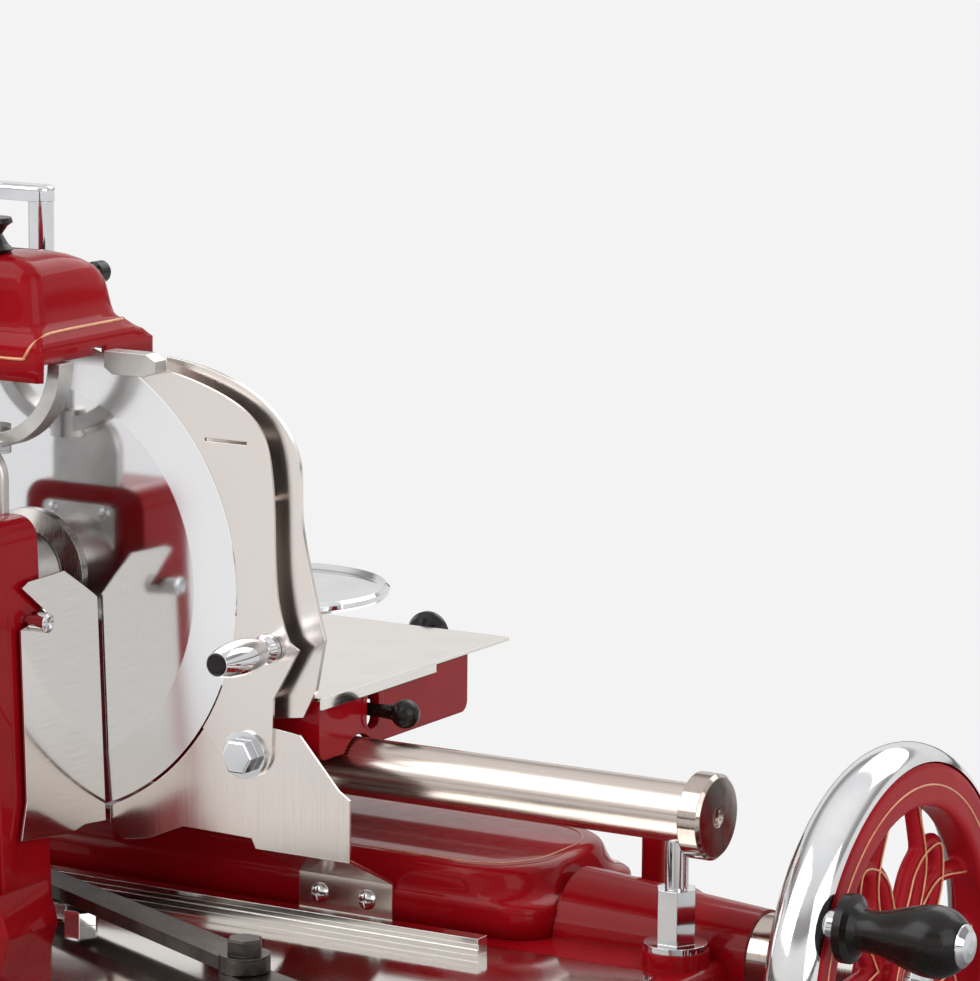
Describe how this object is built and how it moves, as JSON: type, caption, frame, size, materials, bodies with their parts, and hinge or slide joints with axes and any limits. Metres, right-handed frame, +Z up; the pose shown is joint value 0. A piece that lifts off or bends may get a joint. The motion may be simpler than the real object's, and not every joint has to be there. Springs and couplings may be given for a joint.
{
  "type": "meat slicer",
  "caption": "Hand crank meat slicer: a curved-spoke flywheel drives a round blade, with a sliding meat carriage, a clamp, a slice tray and a lift-off sharpener cover.",
  "frame": {"origin": "on the floor, under the middle of the machine's bounding box", "axes": "+X along the guide tube towards the flywheel, +Y from the blade to the meat table, +Z up"},
  "size_m": [0.873, 0.566, 0.608],
  "materials": {
    "red_enamel": "glossy red enamel",
    "dark_red_enamel": "glossy red enamel on the flywheel",
    "polished_steel": "polished and chromed steel",
    "blade_steel": "ground steel",
    "satin_aluminium": "satin anodised aluminium",
    "sheet_steel": "brushed stainless sheet",
    "dark_steel": "blackened steel",
    "machine_steel": "machined steel",
    "black_plastic": "glossy black phenolic",
    "black_rubber": "black rubber",
    "abrasive": "grey grinding stone"
  },
  "bodies": {
    "frame": {"base_casting": "red_enamel", "base_feet": "black_rubber", "shaft_cone": "red_enamel", "bearing_webs": "machine_steel", "slice_tray": "sheet_steel", "tray_rail": "polished_steel", "gear_housing": "red_enamel", "shaft_bush": "polished_steel", "blade_column": "red_enamel", "chain_cover": "red_enamel", "blade_bearing": "satin_aluminium", "drive_chain": "machine_steel", "crest_plate": "polished_steel", "guide_tube": "polished_steel", "tube_caps": "polished_steel", "tube_posts": "polished_steel", "rear_rail": "polished_steel", "rear_posts": "red_enamel", "panel_screws": "polished_steel", "foot_plate": "sheet_steel", "ring_guard": "sheet_steel", "guard_block": "polished_steel", "hex_bolts": "polished_steel", "deflector_plate": "sheet_steel", "sharpener_yoke": "polished_steel"},
    "flywheel": {"flywheel_rim": "polished_steel", "flywheel_spider": "dark_red_enamel", "hub_cap": "polished_steel", "flywheel_shaft": "machine_steel", "drive_gear": "machine_steel", "handle_stub": "polished_steel"},
    "grip": {"handle_grip": "black_plastic"},
    "layshaft": {"layshaft": "machine_steel"},
    "cross_shaft": {"cross_shaft": "machine_steel"},
    "blade": {"blade": "blade_steel", "blade_carrier": "satin_aluminium"},
    "crank": {"crank_arm": "dark_steel"},
    "rod": {"connecting_rod": "dark_steel", "rod_bolt": "polished_steel"},
    "carriage": {"carriage_body": "red_enamel", "carriage_saddle": "red_enamel"},
    "rear_roller": {"rear_roller": "black_rubber"},
    "release_lever": {"release_lever": "polished_steel"},
    "table": {"table_plate": "sheet_steel", "clamp_columns": "polished_steel", "clamp_crossbar": "satin_aluminium"},
    "feed": {"feed_screw": "machine_steel", "feed_knob": "black_plastic"},
    "clamp": {"clamp_arm": "satin_aluminium", "press_plate": "polished_steel"},
    "clamp_spindle": {"clamp_spindle": "polished_steel"},
    "gauge": {"gauge_plate": "satin_aluminium"},
    "gauge_knob": {"gauge_knob": "polished_steel"},
    "deflector_screw": {"deflector_screw": "polished_steel"},
    "cover": {"sharpener_cover": "red_enamel", "cover_knob": "black_plastic"},
    "button": {"sharpener_button": "black_plastic"},
    "front_stone": {"front_stone": "abrasive"},
    "back_stone": {"back_stone": "abrasive"}
  },
  "joints": [
    {"name": "flywheel_spin", "type": "hinge", "parent": "frame", "child": "flywheel", "pos_m": [0.3505, 0.127, 0.1604], "axis": [1, 0, 0], "continuous": true},
    {"name": "grip_spin", "type": "hinge", "parent": "flywheel", "child": "grip", "pos_m": [0.3985, 0.01928, 0.21768], "axis": [1, 0, 0], "continuous": true},
    {"name": "layshaft_spin", "type": "hinge", "parent": "frame", "child": "layshaft", "pos_m": [-0.0515, 0.127, 0.1079], "axis": [1, 0, 0], "continuous": true},
    {"name": "cross_shaft_spin", "type": "hinge", "parent": "frame", "child": "cross_shaft", "pos_m": [-0.2015, 0.017, 0.1079], "axis": [0, 1, 0], "continuous": true},
    {"name": "blade_spin", "type": "hinge", "parent": "frame", "child": "blade", "pos_m": [-0.2015, 0.017, 0.365], "axis": [0, 1, 0], "continuous": true},
    {"name": "carriage_slide", "type": "slide", "parent": "frame", "child": "carriage", "axis": [1, 0, 0], "range_m": [0, 0.21641]},
    {"name": "rod_swing", "type": "hinge", "parent": "carriage", "child": "rod", "pos_m": [-0.2875, 0.037, 0.1763], "axis": [0, 0, 1], "range_deg": [-19.99, 0.5]},
    {"name": "crank_turn", "type": "hinge", "parent": "frame", "child": "crank", "pos_m": [0.12146, -0.14741, 0.1763], "axis": [0, 0, 1], "range_deg": [-0.5, 161.01]},
    {"name": "roller_spin", "type": "hinge", "parent": "carriage", "child": "rear_roller", "pos_m": [-0.1765, 0.189, 0.2423], "axis": [0, 1, 0], "continuous": true},
    {"name": "release_lever_lift", "type": "hinge", "parent": "carriage", "child": "release_lever", "pos_m": [-0.0515, 0.092, 0.2875], "axis": [0, -1, 0], "range_deg": [0, 6]},
    {"name": "table_feed", "type": "slide", "parent": "carriage", "child": "table", "axis": [0, 1, 0], "range_m": [0, 0.11]},
    {"name": "feed_screw_turn", "type": "hinge", "parent": "table", "child": "feed", "pos_m": [-0.0915, 0.217, 0.281], "axis": [0, 1, 0], "continuous": true},
    {"name": "clamp_slide", "type": "slide", "parent": "table", "child": "clamp", "axis": [0, 0, 1], "range_m": [-0.034, 0.12]},
    {"name": "clamp_spindle_turn", "type": "hinge", "parent": "table", "child": "clamp_spindle", "pos_m": [-0.31617, 0.122, 0.465], "axis": [0, 0, 1], "continuous": true},
    {"name": "gauge_slide", "type": "slide", "parent": "frame", "child": "gauge", "axis": [0, -1, 0], "range_m": [0, 0.005]},
    {"name": "gauge_knob_turn", "type": "hinge", "parent": "frame", "child": "gauge_knob", "pos_m": [-0.0265, 0.017, 0.336], "axis": [0, 1, 0], "range_deg": [-5, 185]},
    {"name": "deflector_screw_turn", "type": "hinge", "parent": "frame", "child": "deflector_screw", "pos_m": [-0.1415, -0.054, 0.351], "axis": [1, 0, 0], "range_deg": [0, 360]},
    {"name": "cover_lift", "type": "slide", "parent": "frame", "child": "cover", "axis": [0, 0, 1], "range_m": [0, 0.06]},
    {"name": "sharpener_press", "type": "slide", "parent": "cover", "child": "button", "axis": [0, -1, 0], "range_m": [0, 0.004], "stiffness_N_per_m": 400, "springref_m": -0.001},
    {"name": "front_stone_spin", "type": "hinge", "parent": "frame", "child": "front_stone", "pos_m": [-0.2015, -0.003, 0.523], "axis": [0, 1, 0], "continuous": true},
    {"name": "back_stone_spin", "type": "hinge", "parent": "frame", "child": "back_stone", "pos_m": [-0.2015, 0.037, 0.523], "axis": [0, 1, 0], "continuous": true}
  ],
  "couplings": [
    {"joint": "layshaft_spin", "follows": "flywheel_spin", "ratio": -1.625},
    {"joint": "cross_shaft_spin", "follows": "flywheel_spin", "ratio": -1.625},
    {"joint": "blade_spin", "follows": "flywheel_spin", "ratio": -1.625},
    {"joint": "rod_swing", "follows": "carriage_slide", "rad_per_m": -1.5719},
    {"joint": "crank_turn", "follows": "carriage_slide", "rad_per_m": 12.945},
    {"joint": "feed_screw_turn", "follows": "table_feed", "rad_per_m": 523.6},
    {"joint": "clamp_spindle_turn", "follows": "clamp_slide", "rad_per_m": 523.6},
    {"joint": "gauge_knob_turn", "follows": "gauge_slide", "rad_per_m": 628.32}
  ]
}
